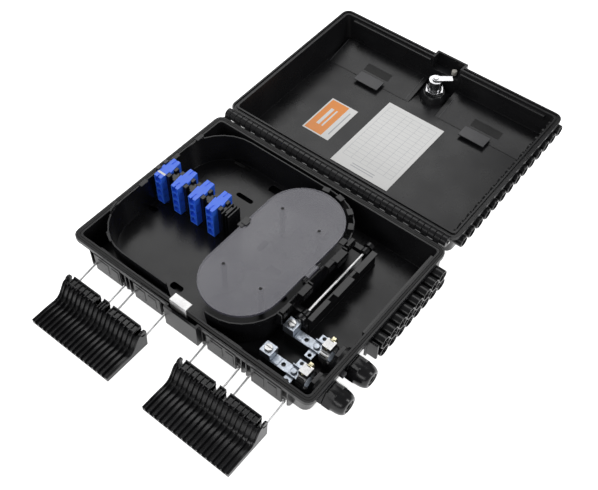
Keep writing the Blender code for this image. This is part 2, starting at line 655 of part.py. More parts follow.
# ---- lock ---------------------------------------------------------------------------
def make_lock(chrome, lid_hinge, cam_axis):
    at = (LOCK_X, LOCK_Y)
    end = LID_RIM + LOCK_END
    radius = LOCK_D / 2
    stub = 2.5
    solid("lock_cylinder", loft([turn("Z", at, r, z, 20) for r, z in (
        (radius, LID_TOP - 0.6), (radius, end), (stub, end), (stub, end - 2.6))]),
        chrome, lid_hinge)
    nut_top = LID_TOP - LID_FLOOR - BOSS_H - GAP
    solid("lock_nut", sleeve("Z", at, (
        (nut_top - 4, LOCK_AF / 2, True), (nut_top, LOCK_AF / 2, True),
        (nut_top, radius + GAP, False), (nut_top - 4, radius + GAP, False)), 24),
        chrome, lid_hinge)
    high = end - GAP
    low = high - CAM_T
    direction = math.radians(-CAM_TURN)
    reach = Vector((math.cos(direction), math.sin(direction)))
    across = Vector((-reach.y, reach.x)) * CAM_W / 2
    centre = Vector(at)
    outline = []
    for k in range(9):
        angle = math.pi / 2 + math.pi * k / 8
        outline.append(centre + across * math.sin(angle) + reach * (CAM_W / 2) * math.cos(angle))
    outline += [centre + reach * CAM_L - across, centre + reach * CAM_L + across]
    cam = solid("lock_cam", loft([[(p.x, p.y, z) for p in outline] for z in (low, high)]),
                chrome, cam_axis)
    shape(cam, [cylinder("Z", at, 2 * stub + 2 * GAP, (low - 1, high + 1), 12)], "DIFFERENCE")


def make_lid_trim(paper, gray, pale, hinge):
    inner = LID_TOP - LID_FLOOR - GAP
    cx, cy = LABEL_AT
    wide, deep, thick = LABEL
    solid("data_label", box(
        (cx - wide / 2, cx + wide / 2), (cy - deep / 2, cy + deep / 2),
        (inner - thick, inner)), paper, hinge)
    for name, side in (("catch_tab_left", -1), ("catch_tab_right", 1)):
        x = (side * LATCH_X + 1 - TAB[0] / 2, side * LATCH_X + 1 + TAB[0] / 2)
        y = (TAB_Y - TAB[1] / 2, TAB_Y + TAB[1] / 2)
        solid(name, box(x, y, (inner - 3.2 - TAB[2], inner - 3.2)), gray, hinge)
    roof = LID_RIM + 15 - GAP
    solid("housing_plug", cylinder("Z", (PLUG_X, FRONT + 3), PLUG_D, (roof - 5.5, roof), 14),
          pale, hinge)


# ---- latches ------------------------------------------------------------------------
def wire(name, points, steel, parent):
    """A round wire through points, its corners bent on short arcs."""
    path = [Vector(points[0])]
    for before, corner, after in zip(points, points[1:], points[2:]):
        into = (Vector(before) - Vector(corner)).normalized()
        out = (Vector(after) - Vector(corner)).normalized()
        for k in range(4):
            t = k / 3
            bend = into * (1 - t) ** 2 + out * t ** 2
            path.append(Vector(corner) + bend * 2.5)
    path.append(Vector(points[-1]))
    curve = bpy.data.curves.new(name, "CURVE")
    curve.dimensions = "3D"
    curve.bevel_depth = WIRE_D / 2 * MM
    curve.bevel_resolution = 2
    curve.use_fill_caps = True
    spline = curve.splines.new("POLY")
    spline.points.add(len(path) - 1)
    for spot, point in zip(spline.points, path):
        spot.co = (*(point * MM), 1)
    curve.materials.append(steel)
    obj = bpy.data.objects.new(name, curve)
    bpy.context.collection.objects.link(obj)
    hang(obj, parent)


def make_latch(side, centre, plastic, steel):
    root_y = FRONT + BAIL_Y
    tip_y = FRONT + HANDLE_Y
    bail = pivot(side + "_bail_axis", (centre, root_y, BAIL_Z))
    handle_axis = pivot(side + "_handle_axis", (centre, tip_y, HANDLE_Z), bail)
    for label, first, last in (("outer", -LEG_OUT, -LEG_IN), ("inner", LEG_IN, LEG_OUT)):
        a = centre + first
        b = centre + last
        wire(side + "_bail_" + label, (
            (a + 8, root_y, BAIL_Z), (a, root_y, BAIL_Z), (a, tip_y, HANDLE_Z),
            (b, tip_y, HANDLE_Z), (b, root_y, BAIL_Z), (b - 8, root_y, BAIL_Z)), steel, bail)
    low = GAP - HANDLE_Z
    face = low + HANDLE_PLATE
    lip = HANDLE_LIP
    reach = HANDLE_REACH
    spots = ((3.4, lip), (3.4, 0), (1.5, low + 2), (-2, low), (-reach, low), (-reach, face - 1),
             (-reach + 1, face), (-19, face), (-12.5, face + 3), (-7.5, face + 8),
             (-4.5, face + 13), (-2.6, lip))
    half = HANDLE_W / 2
    outline = [(tip_y + y, HANDLE_Z + z) for y, z in spots]
    body = prism_x(outline, (centre - half, centre + half))
    handle = solid(side + "_latch_handle", body, plastic, handle_axis)
    ribs = []
    rib_spots = ((0, face + 2), (-2, lip - 1), (-9, face + 9.5), (-18, face + 2), (-30, face + 1),
                 (-30, face - 1), (0, face - 1))
    rib_outline = [(tip_y + y, HANDLE_Z + z) for y, z in reversed(rib_spots)]
    for k in range(RIB_COUNT):
        x = centre + (k - (RIB_COUNT - 1) / 2) * RIB_PITCH
        ribs.append(prism_x(rib_outline, (x - RIB_W / 2, x + RIB_W / 2)))
    cuts = []
    play = WIRE_D / 2 + WIRE_PLAY
    for offset in (-LEG_OUT, -LEG_IN, LEG_IN, LEG_OUT):
        x = (centre + offset - LEG_SLOT / 2, centre + offset + LEG_SLOT / 2)
        cuts.append(box(x, (tip_y - 3.2, tip_y + 6), (HANDLE_Z - play - 1, HANDLE_Z + lip + 1)))
    for first, last in ((-LEG_OUT, -LEG_IN), (LEG_IN, LEG_OUT)):
        span = (centre + first, centre + last)
        cuts.append(cylinder("X", (tip_y, HANDLE_Z), 2 * play, span, 8))
    shape(handle, ribs, "UNION")
    shape(handle, cuts, "DIFFERENCE")


# ---- assembly -----------------------------------------------------------------------
def open_turn():
    """How far the lid turns until the edge of its outer face meets the ground."""
    out = HINGE_OUT + DRAFT + EDGE
    down = LID_TOP - HINGE_Z
    radius = math.hypot(out, down)
    tilt = math.acos((HINGE_Z - LID_LIFT) / radius) - math.atan2(out, down)
    return math.pi - tilt


def main():
    for obj in list(bpy.data.objects):
        bpy.data.objects.remove(obj)
    black = finish("black_plastic", (0.018, 0.018, 0.020), 0.35)
    tray_black = finish("tray_plastic", (0.015, 0.015, 0.017), 0.3)
    rubber = finish("rubber", (0.012, 0.012, 0.012), 0.7)
    gray = finish("gray_plastic", (0.12, 0.12, 0.125), 0.45)
    blue = finish("adapter_blue", (0.03, 0.08, 0.55), 0.4)
    clear = finish("smoked_cover", (0.18, 0.16, 0.22), 0.15, alpha=0.5)
    steel = finish("steel", (0.55, 0.55, 0.56), 0.3, 1.0)
    zinc = finish("zinc", (0.5, 0.52, 0.56), 0.35, 1.0)
    chrome = finish("chrome", (0.75, 0.75, 0.76), 0.12, 1.0)
    paper = finish("label_paper", (0.75, 0.75, 0.73), 0.5)
    pale = finish("pale_plastic", (0.5, 0.48, 0.44), 0.5)

    lid_hinge = pivot("lid_axis", (0, HINGE_Y, HINGE_Z), turn_x=-open_turn())
    cam_axis = pivot("cam_axis", (LOCK_X, LOCK_Y, LID_RIM + LOCK_END), lid_hinge)
    tray_hinge = pivot("tray_axis", (TRAY_AXIS[0], 0, TRAY_AXIS[1]))
    cover_hinge = pivot("cover_axis", (COVER_AXIS[0], 0, COVER_AXIS[1]), tray_hinge)

    make_base(black)
    make_rim_parts(rubber, steel)
    make_ports(black, rubber)
    for number, y in enumerate(GLAND_Y, 1):
        make_gland(number, y, black, rubber)
    for number, y in enumerate(CLAMP_Y, 1):
        make_clamp(number, y, zinc, steel)
    make_tray(tray_black, tray_hinge)
    make_tray_hinge(steel, black)
    make_adapters(blue, black, tray_hinge)
    make_cover(clear, steel, tray_hinge, cover_hinge)
    make_lid(black, lid_hinge)
    make_lock(chrome, lid_hinge, cam_axis)
    make_lid_trim(paper, gray, pale, lid_hinge)
    for side, centre in zip(("left", "right"), latch_centres()):
        make_latch(side, centre, black, steel)


main()
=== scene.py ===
"""Looks of the fiber termination box: surfaces, printed labels and fine detail.

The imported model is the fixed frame, and fine pieces take their places from its boxes and joints.
Materials, lights and the camera are in metres. Fine pieces are drawn in millimetres, and those
of the lid are drawn on the closed lid and then opened with it.
"""
import json
import math

import bmesh
import bpy
from mathutils import Matrix, Vector

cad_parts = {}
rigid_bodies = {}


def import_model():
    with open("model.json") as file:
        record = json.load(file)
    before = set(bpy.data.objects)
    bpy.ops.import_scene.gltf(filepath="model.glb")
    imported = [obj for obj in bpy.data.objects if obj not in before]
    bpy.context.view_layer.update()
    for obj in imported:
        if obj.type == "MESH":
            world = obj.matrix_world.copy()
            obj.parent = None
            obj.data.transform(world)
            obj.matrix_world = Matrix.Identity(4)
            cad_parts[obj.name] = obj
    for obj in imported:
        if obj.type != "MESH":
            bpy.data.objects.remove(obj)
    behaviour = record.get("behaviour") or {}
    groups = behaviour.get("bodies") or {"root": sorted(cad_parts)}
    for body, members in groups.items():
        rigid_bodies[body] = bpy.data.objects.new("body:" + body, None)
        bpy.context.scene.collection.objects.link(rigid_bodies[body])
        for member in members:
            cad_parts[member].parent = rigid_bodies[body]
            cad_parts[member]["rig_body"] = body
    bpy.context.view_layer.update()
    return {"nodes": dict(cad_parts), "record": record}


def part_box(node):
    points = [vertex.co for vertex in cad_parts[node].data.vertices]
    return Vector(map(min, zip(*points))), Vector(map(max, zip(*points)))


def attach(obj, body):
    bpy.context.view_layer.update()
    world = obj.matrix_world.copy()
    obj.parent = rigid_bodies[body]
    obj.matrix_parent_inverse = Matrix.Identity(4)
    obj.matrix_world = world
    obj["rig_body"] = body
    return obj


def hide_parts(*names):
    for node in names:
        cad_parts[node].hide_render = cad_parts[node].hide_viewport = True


MM = 0.001
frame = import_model()
nodes = frame["nodes"]
joints = {joint["name"]: joint for joint in frame["record"]["behaviour"]["joints"]}

BAIL_LEGS = (-46.0, -6.0, 6.0, 46.0)    # the wire legs along a latch, from its middle
TRAY_WALL = 68.0                        # the X of the tray's right wall
TRAY_CORNER = 48.0                      # the radius of the tray's round corners
COVER_RIGHT = 61.0                      # the X of the splice cover's right edge, without its hinge
ADAPTERS = sorted(
    node for node in nodes if node.startswith("adapter_") and node != "adapter_bracket")


# ---- materials ----------------------------------------------------------------------
class Paint:
    """A Principled material with a few node helpers, all in object coordinates."""

    def __init__(self, name, color, roughness, metallic=0.0):
        self.material = bpy.data.materials.new(name)
        self.material.use_nodes = True
        self.tree = self.material.node_tree
        self.shader = self.tree.nodes["Principled BSDF"]
        self.shader.inputs["Base Color"].default_value = (*color, 1.0)
        self.shader.inputs["Roughness"].default_value = roughness
        self.shader.inputs["Metallic"].default_value = metallic
        self.place = self.node("ShaderNodeTexCoord").outputs["Object"]

    def node(self, kind, **settings):
        made = self.tree.nodes.new(kind)
        for key, value in settings.items():
            setattr(made, key, value)
        return made

    def link(self, source, target):
        self.tree.links.new(source, target)

    def stretched(self, scale):
        mapping = self.node("ShaderNodeMapping")
        mapping.inputs["Scale"].default_value = scale
        self.link(self.place, mapping.inputs["Vector"])
        return mapping.outputs["Vector"]

    def noise(self, size, detail=3.0, vector=None):
        """Noise whose blotches are about size metres across."""
        texture = self.node("ShaderNodeTexNoise")
        texture.inputs["Scale"].default_value = 1.0 / size
        texture.inputs["Detail"].default_value = detail
        self.link(vector or self.place, texture.inputs["Vector"])
        return texture.outputs["Fac"]

    def spread(self, value, low, high, start=0.3, end=0.7):
        mapped = self.node("ShaderNodeMapRange")
        self.link(value, mapped.inputs["Value"])
        for key, number in (("From Min", start), ("From Max", end), ("To Min", low), ("To Max", high)):
            mapped.inputs[key].default_value = number
        return mapped.outputs["Result"]

    def blend(self, factor, first, second):
        mix = self.node("ShaderNodeMix", data_type="RGBA")
        self.link(factor, mix.inputs["Factor"])
        for socket, value in (("A", first), ("B", second)):
            slot = [s for s in mix.inputs if s.name == socket and s.type == "RGBA"][0]
            if isinstance(value, tuple):
                slot.default_value = (*value, 1.0)
            else:
                self.link(value, slot)
        return [s for s in mix.outputs if s.type == "RGBA"][0]

    def colour(self, source):
        self.link(source, self.shader.inputs["Base Color"])

    def rough(self, source):
        self.link(source, self.shader.inputs["Roughness"])

    def bump(self, height, depth):
        node = self.node("ShaderNodeBump")
        node.inputs["Distance"].default_value = depth
        node.inputs["Strength"].default_value = 1.0
        previous = self.shader.inputs["Normal"]
        if previous.is_linked:
            self.link(previous.links[0].from_socket, node.inputs["Normal"])
        self.link(height, node.inputs["Height"])
        self.link(node.outputs["Normal"], self.shader.inputs["Normal"])


def tone(color, factor):
    return tuple(min(1.0, channel * factor) for channel in color)


def moulded(name, color, roughness, grain=0.0007, depth=0.00002, uneven=0.15, shine=0.5):
    """Moulded plastic: fine spark-eroded grain, slow change of gloss, faint dust."""
    paint = Paint(name, color, roughness)
    paint.shader.inputs["Specular IOR Level"].default_value = shine
    patch = paint.noise(0.035, detail=4.0)
    dust = paint.noise(0.0022, detail=6.0)
    base = paint.blend(paint.spread(patch, 0.0, 1.0), tone(color, 1 - uneven), tone(color, 1 + uneven))
    speck = paint.spread(dust, 0.0, 0.25, start=0.66, end=0.82)
    dusty = tone(color, 2.2)
    paint.colour(paint.blend(speck, base, dusty))
    paint.rough(paint.spread(patch, roughness - 0.05, roughness + 0.07))
    paint.bump(paint.noise(grain, detail=2.0), depth)
    sink_marks = paint.noise(0.03, detail=1.0)
    paint.bump(sink_marks, 0.00010)
    return paint.material


def metal(name, color, roughness, along=(1.0, 1.0, 1.0), depth=0.00001):
    """Plated or brushed metal: fine lines in its gloss and relief, and a cloudy colour."""
    paint = Paint(name, color, roughness, metallic=1.0)
    lines = paint.noise(0.0012, 5.0, paint.stretched(along))
    cloud = paint.noise(0.008)
    paint.colour(paint.blend(paint.spread(cloud, 0.0, 1.0), tone(color, 0.82), tone(color, 1.1)))
    paint.rough(paint.spread(lines, roughness * 0.7, roughness * 1.35))
    paint.bump(lines, depth)
    return paint.material


def smoked(name, alpha):
    """Grey-violet see-through plastic, slightly frosted; a low alpha lets more through."""
    color = (0.100, 0.097, 0.128)
    paint = Paint(name, color, 0.32)
    paint.shader.inputs["Specular IOR Level"].default_value = 1.0
    patch = paint.noise(0.03)
    paint.colour(paint.blend(paint.spread(patch, 0.0, 1.0), tone(color, 0.95), tone(color, 1.06)))
    paint.rough(paint.spread(patch, 0.29, 0.36))
    paint.shader.inputs["Alpha"].default_value = alpha
    return paint.material


MATERIALS = {
    "case_plastic": moulded("case_plastic", (0.010, 0.010, 0.011), 0.27, shine=0.27),
    "tray_plastic": moulded("tray_plastic", (0.008, 0.008, 0.009), 0.24, 0.0005, 0.00002, shine=0.27),
    "trim_plastic": moulded("trim_plastic", (0.008, 0.008, 0.009), 0.20, shine=0.33),
    "gray_plastic": moulded("gray_plastic", (0.040, 0.040, 0.044), 0.38),
    "rubber": moulded("rubber", (0.006, 0.006, 0.006), 0.62, 0.0004, 0.00004),
    "adapter_blue": moulded("adapter_blue", (0.04, 0.17, 0.95), 0.33, 0.0006, 0.00002, 0.08),
    "pale_plastic": moulded("pale_plastic", (0.46, 0.44, 0.40), 0.45),
    "label_paper": moulded("label_paper", (0.80, 0.80, 0.79), 0.42, 0.0003, 0.00001, 0.03),
    "steel": metal("steel", (0.46, 0.46, 0.46), 0.28, (1.0, 14.0, 14.0)),
    "zinc": metal("zinc", (0.46, 0.50, 0.56), 0.40, depth=0.00004),
    "chrome": metal("chrome", (0.46, 0.46, 0.47), 0.18, (1.0, 1.0, 9.0)),
    "smoked_cover": smoked("smoked_cover", 0.62),
}
SMOKED_INSIDE = smoked("smoked_inside", 0.12)
ORANGE = moulded("sticker_orange", (0.90, 0.30, 0.045), 0.4, 0.0003, 0.00001, 0.05)
INK = moulded("print_gray", (0.50, 0.51, 0.53), 0.5, 0.0003, 0.00001, 0.05)
WIRE = metal("wire_steel", (0.86, 0.86, 0.86), 0.5)
PASSIVATED = metal("passivated_steel", (0.78, 0.72, 0.50), 0.26)


# ---- rounded versions of the CAD nodes: bevels in millimetres -------------------------
ROUNDING = {
    "case_plastic": 0.3, "tray_plastic": 0.3, "trim_plastic": 0.25, "gray_plastic": 0.2,
    "adapter_blue": 0.35, "zinc": 0.15, "label_paper": 0.05, "smoked_cover": 0.25,
    "pale_plastic": 0.3, "rubber": 0.08, "chrome": 0.25, "steel": 0.12}
WIDER = {"gland_1_body": 0.5, "gland_2_body": 0.5, "lock_nut": 0.5}
KEPT = ("hinge_pin", "tray_hinge_pin", "cover_hinge_pin", "base_gasket")
REDRAWN = {
    *ADAPTERS, "gland_1_nut", "gland_2_nut", "port_seal_strip", "drop_port_block",
    "left_latch_handle", "right_latch_handle", "clamp_1_screw", "clamp_2_screw",
    "clamp_1_worm", "clamp_2_worm"}


def clean_mesh(node):
    """The node's faces, welded and with flat areas joined, ready for rounding."""
    bm = bmesh.new()
    bm.from_mesh(nodes[node].data)
    bmesh.ops.remove_doubles(bm, verts=bm.verts, dist=0.000002)
    bmesh.ops.dissolve_degenerate(bm, edges=bm.edges, dist=0.00002)
    bmesh.ops.dissolve_limit(
        bm, angle_limit=math.radians(1.0), verts=bm.verts, edges=bm.edges)
    mesh = bpy.data.meshes.new(node + "_skin")
    bm.to_mesh(mesh)
    bm.free()
    return mesh


def add_object(name, mesh, body, slot, material=None):
    obj = bpy.data.objects.new(name, mesh)
    bpy.context.scene.collection.objects.link(obj)
    mesh.materials.clear()
    mesh.materials.append(material or MATERIALS[slot])
    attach(obj, body)
    return obj


def round_edges(obj, width):
    """Round an object's edges by width metres and shade its flat faces flat."""
    bevel = obj.modifiers.new("edges", "BEVEL")
    bevel.width = width
    bevel.segments = 2
    bevel.limit_method = "ANGLE"
    bevel.angle_limit = math.radians(32)
    bevel.use_clamp_overlap = False
    bevel.harden_normals = False
    obj.data.shade_smooth()
    obj.data.set_sharp_from_angle(angle=math.radians(50))
    weighted = obj.modifiers.new("normals", "WEIGHTED_NORMAL")
    weighted.keep_sharp = False
    weighted.weight = 80


def body_of(node):
    return nodes[node]["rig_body"]


def dress_nodes():
    """Keep thin pins and wires, and put a rounded skin in place of every node not redrawn."""
    slots = {row["node"]: row["material_slot"] for row in frame["record"]["subparts"]}
    for node, slot in sorted(slots.items()):
        obj = nodes[node]
        wire = "_bail_" in node
        obj.data.materials.clear()
        obj.data.materials.append(WIRE if wire else MATERIALS[slot])
        if node in KEPT or wire:
            obj.data.shade_smooth()
            obj.data.set_sharp_from_angle(angle=math.radians(40))
            continue
        if node in REDRAWN:
            continue
        skin = add_object(node + "_skin", clean_mesh(node), body_of(node), slot)
        if node == "splice_cover":
            skin.data.materials.append(SMOKED_INSIDE)
            for face in skin.data.polygons:
                looks_down = face.normal.z < -0.5
                face.material_index = 1 if looks_down else 0
        round_edges(skin, WIDER.get(node, ROUNDING[slot]) * MM)
        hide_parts(node)


# ---- drawing in millimetres ---------------------------------------------------------
def span(node):
    """The lowest and highest corners of a node, in millimetres."""
    low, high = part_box(node)
    return Vector(low) / MM, Vector(high) / MM


def opened():
    """The turn that takes something drawn on the closed lid to the open lid."""
    hinge = joints["lid_hinge"]
    at = Vector(hinge["pos_m"])
    angle = math.radians(hinge["range_deg"][0])
    return Matrix.Translation(at) @ Matrix.Rotation(angle, 4, "X") @ Matrix.Translation(-at)


LID = opened()


def closed_span(node):
    """The corners of a lid node when the lid is closed, in millimetres."""
    back = LID.inverted()
    spots = [back @ vertex.co for vertex in nodes[node].data.vertices]
    low = Vector([min(spot[k] for spot in spots) for k in range(3)])
    high = Vector([max(spot[k] for spot in spots) for k in range(3)])
    return low / MM, high / MM


def loft(rings, closed=False):
    """Skin rings of equally many points; capped ends, or closed into a loop."""
    bm = bmesh.new()
    loops = [[bm.verts.new(Vector(point)) for point in ring] for ring in rings]
    pairs = list(zip(loops, loops[1:]))
    if closed:
        pairs.append((loops[-1], loops[0]))
    for low, high in pairs:
        for i in range(len(low)):
            j = (i + 1) % len(low)
            bm.faces.new((low[i], low[j], high[j], high[i]))
    if not closed:
        bm.faces.new(list(reversed(loops[0])))
        bm.faces.new(loops[-1])
    bmesh.ops.recalc_face_normals(bm, faces=bm.faces)
    return bm


def box(x, y, z):
    corners = ((x[0], y[0]), (x[1], y[0]), (x[1], y[1]), (x[0], y[1]))
    return loft([[(cx, cy, cz) for cx, cy in corners] for cz in sorted(z)])


def prism_x(profile, x):
    """Extrude a (y, z) outline along X."""
    return loft([[(cx, py, pz) for py, pz in profile] for cx in x])


def prism_z(outline, z):
    """Extrude an (x, y) outline upwards."""
    return loft([[(px, py, cz) for px, py in outline] for cz in z])


def turned(axis, at, sections, sides=32, closed=False):
    """A turned solid from (along, radius) sections; a third value makes it a hexagon."""
    rings = []
    for along, radius, *hexagon in sections:
        points = []
        for k in range(sides):
            angle = 2 * math.pi * k / sides
            reach = radius
            if hexagon:
                reach = radius / math.cos(angle % (math.pi / 3) - math.pi / 6)
            a = reach * math.cos(angle)
            b = reach * math.sin(angle)
            spots = {"X": (along, at[0] + a, at[1] + b), "Y": (at[0] + a, along, at[1] + b),
                     "Z": (at[0] + a, at[1] + b, along)}
            points.append(spots[axis])
        rings.append(points)
    return loft(rings, closed)


def piece(name, parts, body, slot, bevel=0.2, material=None, matrix=None, smooth=40):
    """One finished object from solids drawn in millimetres, riding on a body."""
    whole = bmesh.new()
    for bm in parts:
        bmesh.ops.scale(bm, vec=(MM, MM, MM), verts=bm.verts)
        mesh = bpy.data.meshes.new("part")
        bm.to_mesh(mesh)
        bm.free()
        whole.from_mesh(mesh)
        bpy.data.meshes.remove(mesh)
    if matrix:
        bmesh.ops.transform(whole, matrix=matrix, verts=whole.verts)
    mesh = bpy.data.meshes.new(name)
    whole.to_mesh(mesh)
    whole.free()
    obj = add_object(name, mesh, body, slot, material)
    if bevel:
        round_edges(obj, bevel * MM)
    else:
        mesh.shade_smooth()
        mesh.set_sharp_from_angle(angle=math.radians(smooth))
    return obj


# ---- adapters -----------------------------------------------------------------------
def adapter_parts(low, high):
    """One adapter: slotted body, flange across its middle, two mouths split by a divider, and a block
    across its inside at the middle.
    """
    flange_reach = 1.8
    flange_half = 2.2
    slot_half = 0.75
    slot_depth = 7.5
    wall = 1.2
    divider_half = 0.9
    divider_setback = 2.5
    left = low.x + flange_reach
    right = high.x - flange_reach
    middle = (low.y + high.y) / 2
    centre = (left + right) / 2
    half = [
        (left, low.y), (centre - slot_half, low.y), (centre - slot_half, low.y + slot_depth),
        (centre + slot_half, low.y + slot_depth), (centre + slot_half, low.y), (right, low.y),
        (right, middle - flange_half), (high.x, middle - flange_half)]
    outline = half + [(low.x + high.x - x, 2 * middle - y) for x, y in half]
    parts = [prism_z(outline, (high.z - wall, high.z))]
    parts.append(box((left, right), (low.y, high.y), (low.z, low.z + wall)))
    inside = (low.z + wall / 2, high.z - wall / 2)
    walls = (
        ((left, left + wall), 0), ((right - wall, right), 0),
        ((centre - divider_half, centre + divider_half), divider_setback))
    for x, setback in walls:
        parts.append(box(x, (low.y + setback, high.y), inside))
    parts.append(box((left + 0.5, right - 0.5), (middle - 3, middle + 3), inside))
    flange = (middle - flange_half, middle + flange_half)
    parts.append(box((low.x, high.x), flange, (low.z, high.z - wall / 2)))
    return parts


def make_adapters():
    for name in ADAPTERS:
        low, high = span(name)
        fine = piece(name + "_fine", adapter_parts(low, high), "tray", "adapter_blue", 0.12)
        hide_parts(name)
    low, high = span("adapter_1_4")
    tape = box((low.x + 1.7, high.x - 1.7), (low.y + 5, low.y + 7.4), (high.z - 0.1, high.z + 0.12))
    piece("adapter_tape", [tape], "tray", "label_paper", 0.04)


def make_adapter_clips():
    """Clips at the corners of each stack, and three free places after the last stack."""
    low, high = span("adapter_1_4")
    middle = (low.y + high.y) / 2
    floor = span("adapter_1_1")[0].z
    outside = 1.4
    inside = 2.6
    near = 2.5
    far = 7.5
    clips = []
    for column in range(1, 5):
        left, right = (corner.x for corner in span("adapter_%d_4" % column))
        for edge, side in ((left, -1), (right, 1)):
            top = high.z + 1.4 if column == 1 and side < 0 else high.z - 0.6
            for end in (-1, 1):
                y = sorted((middle + end * near, middle + end * far))
                x = sorted((edge - side * outside, edge + side * inside))
                clips.append(box(x, y, (floor, top)))
    for offset in (4.2, 8.5, 12.0):
        x = (right + offset, right + offset + 1.3)
        clips.append(box(x, (middle - 8.5, middle + 8.5), (floor - 1, high.z - 2)))
    piece("adapter_clips", clips, "tray", "trim_plastic", 0.2)


# ---- cable entries ------------------------------------------------------------------
def tube_centres():
    """The (y, z) of each drop tube's axis, from the openings in the record."""
    boxes = [row["box_m"] for row in frame["record"]["physics"]["openings"]
             if row["name"].startswith("drop_port_")]
    return [((low[1] + high[1]) / 2 / MM, (low[2] + high[2]) / 2 / MM) for low, high in boxes]


def make_ports():
    low, high = span("drop_port_block")
    centres = tube_centres()
    tip = high.x
    tube_length = 14.4
    bore_depth = 11.5
    outer = 6.75
    inner = 5.4
    throat = 4.6
    sections = (
        (tip - tube_length, outer), (tip - 0.4, outer), (tip, outer - 0.3), (tip, inner + 0.25),
        (tip - 0.5, inner), (tip - bore_depth, inner - 0.4), (tip - bore_depth, throat),
        (tip - tube_length, throat))
    parts = [turned("X", at, sections, 32, True) for at in centres]
    row = 8
    for y, _ in centres[:row]:
        x = (tip - 15.4, tip - 13.2)
        parts.append(box(x, (y - 7.4, y - 6.0), (high.z - 3.2, high.z + 0.4)))
    face = tip - 14.6
    parts.append(box((face, face + 2.4), (low.y, high.y), (low.z, high.z - 0.3)))
    ledge = (low.y + 4.3, high.y - 3.3)
    parts.append(box((face - 6.5, face), ledge, (low.z + 0.8, high.z - 0.3)))
    block = piece("drop_port_block_fine", parts, "root", "trim_plastic", 0, smooth=30)
    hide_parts("drop_port_block")

    plug = ((face + 0.4, 4.9), (face + 2.9, 4.9), (face + 3.3, 4.4))
    plugs = [turned("X", at, plug, 24) for at in centres]
    membranes = piece("drop_port_membranes", plugs, "root", "rubber", 0.1)
    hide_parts("port_seal_strip")

    end = box((face + 1, tip - 1.2), (low.y + 0.2, low.y + 3.4), (low.z + 4, high.z - 0.4))
    piece("drop_port_end", [end], "root", "trim_plastic", 1.2)


def make_gland_lug():
    """A small lug on the side wall, between the two glands."""
    wall = span("drop_port_block")[1].x
    strip = span("port_seal_strip")[0]
    middle = (span("gland_1_nut")[0].y + span("gland_2_nut")[1].y) / 2
    lug = box((wall - 15, wall - 7), (middle - 3, middle + 3), (strip.z + 22, strip.z + 26))
    piece("gland_lug", [lug], "root", "gray_plastic", 0.6)


def make_gland_nuts():
    """Cap nuts: a hexagon near the wall, then a dome that narrows to the cable's mouth."""
    dome_steps = 7
    dome_start = 10.5
    mouth = ((0, 6.3), (0.8, 5.9), (5, 5.7))
    thread = 7.4
    for number in (1, 2):
        node = "gland_%d_nut" % number
        low, high = span(node)
        at = ((low.y + high.y) / 2, (low.z + high.z) / 2)
        flats = (high.z - low.z) / 2
        start = low.x
        tip = high.x
        sections = [(start, flats - 0.5, 6), (start + 0.6, flats, 6), (start + 8.6, flats, 6)]
        sections += [(start + 9.4, flats - 0.1)]
        for k in range(1, dome_steps + 1):
            angle = math.pi / 2 * k / dome_steps
            sections.append((start + dome_start + (tip - start - dome_start) * math.sin(angle),
                             flats - 4.4 + 4.2 * math.cos(angle)))
        sections += [(tip - depth, radius) for depth, radius in mouth]
        sections += [(start + 10.4, thread), (start, thread)]
        solid = turned("X", at, sections, 48, True)
        nut = piece(node + "_fine", [solid], "root", "trim_plastic", 0, smooth=28)
        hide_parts(node)


def block_screw_parts(low, high, y):
    """A clamp's block screw: shank, round head and two half moons that leave a slot."""
    x = (low.x + high.x) / 2
    top = high.z
    half_slot = 0.55
    parts = [
        turned("Z", (x, y), ((top - 6, 1.8), (top - 2.2, 1.8)), 16),
        turned("Z", (x, y), ((top - 2.3, 3.9), (top - 1.1, 4.1), (top - 0.7, 3.8)), 28)]
    for side in (-1, 1):
        arc = [(x + 3.6 * math.cos(a), y + side * (half_slot + 3.05 * math.sin(a)))
               for a in [math.pi * k / 12 for k in range(13)]]
        parts.append(prism_z(arc, (top - 0.9, top)))
    return parts


def saddle_parts(hub, deck, block_end):
    """What stands on a clamp's plate: a rivet, two side cheeks and the tongue of the block."""
    x, y = hub
    parts = [turned("Z", hub, ((deck, 3.4), (deck + 1.6, 3.4), (deck + 2.1, 2.6)), 20)]
    for side in (-1, 1):
        cheek = sorted((y + side * 4.8, y + side * 5.9))
        parts.append(box((x - 5, x + 5), cheek, (deck, deck + 2.6)))
    parts.append(box((block_end + 0.4, block_end + 7), (y - 4.4, y + 4.4), (deck, deck + 0.9)))
    return parts


def band_slot_parts(band, y):
    """The dark slots that the worm screw runs in, round the hose band."""
    count = 13
    reach = 10.02
    first = -25
    swing = 230
    centre = band[0].z + 10
    parts = []
    for k in range(count):
        angle = math.radians(first + swing * k / (count - 1))
        spot = (y + reach * math.cos(angle), centre + reach * math.sin(angle))
        parts.append(turned("X", spot, ((band[0].x + 1.6, 0.45), (band[1].x - 2.0, 0.45)), 6))
    return parts


def worm_parts(low, high):
    """The band's worm screw: six-sided head, collar and shank, along Y."""
    at = ((low.x + high.x) / 2, (low.z + high.z) / 2)
    end = high.y
    return [turned("Y", at, ((end - 3.4, 3.3), (end - 0.5, 3.5), (end, 3.0)), 6),
            turned("Y", at, ((end - 5.2, 4.1), (end - 4.2, 4.1)), 24),
            turned("Y", at, ((low.y, 1.6), (end - 3, 1.6)), 16)]


